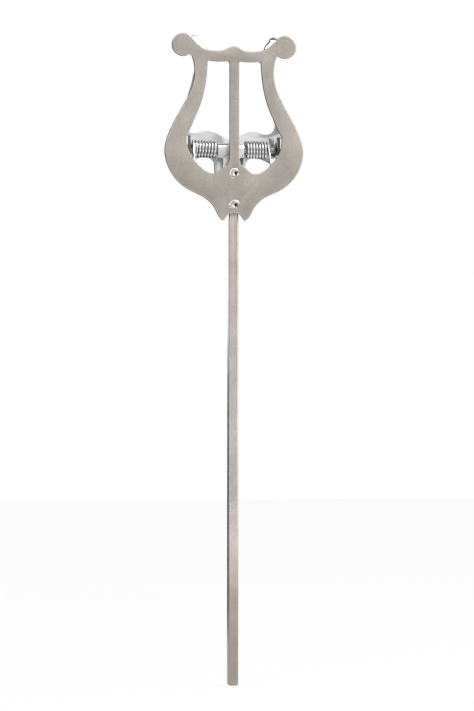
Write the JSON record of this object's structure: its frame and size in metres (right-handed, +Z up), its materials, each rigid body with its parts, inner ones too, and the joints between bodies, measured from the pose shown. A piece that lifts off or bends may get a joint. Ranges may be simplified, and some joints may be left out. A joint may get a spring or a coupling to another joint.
{
  "type": "marching lyre music clip",
  "caption": "Sprung lyre-shaped sheet-music clip on a straight square stem that fits a trumpet's lyre socket.",
  "frame": {"origin": "centre of the stem's lower end face", "axes": "+Z up along the stem, +X across the lyre to the reader's right, -Y towards the reader"},
  "size_m": [0.0576, 0.0157, 0.2652],
  "materials": {
    "satin_nickel": "satin nickel plate on steel",
    "bright_nickel": "bright nickel plate on steel",
    "spring_wire": "plated spring wire"
  },
  "bodies": {
    "lyre": {"lyre_plate": "satin_nickel", "stem": "satin_nickel", "hinge_bracket": "bright_nickel", "upper_rivet": "bright_nickel", "lower_rivet": "bright_nickel", "left_spring": "spring_wire", "right_spring": "spring_wire"},
    "jaw": {"jaw": "bright_nickel", "hinge_pin": "bright_nickel"}
  },
  "joints": [
    {"name": "jaw_hinge", "type": "hinge", "parent": "lyre", "child": "jaw", "pos_m": [0, 0.0046, 0.2191], "axis": [-1, 0, 0], "range_deg": [0, 15], "stiffness_Nm_per_rad": 0.36, "springref_deg": -60.16, "deforming": ["left_spring", "right_spring"]}
  ]
}
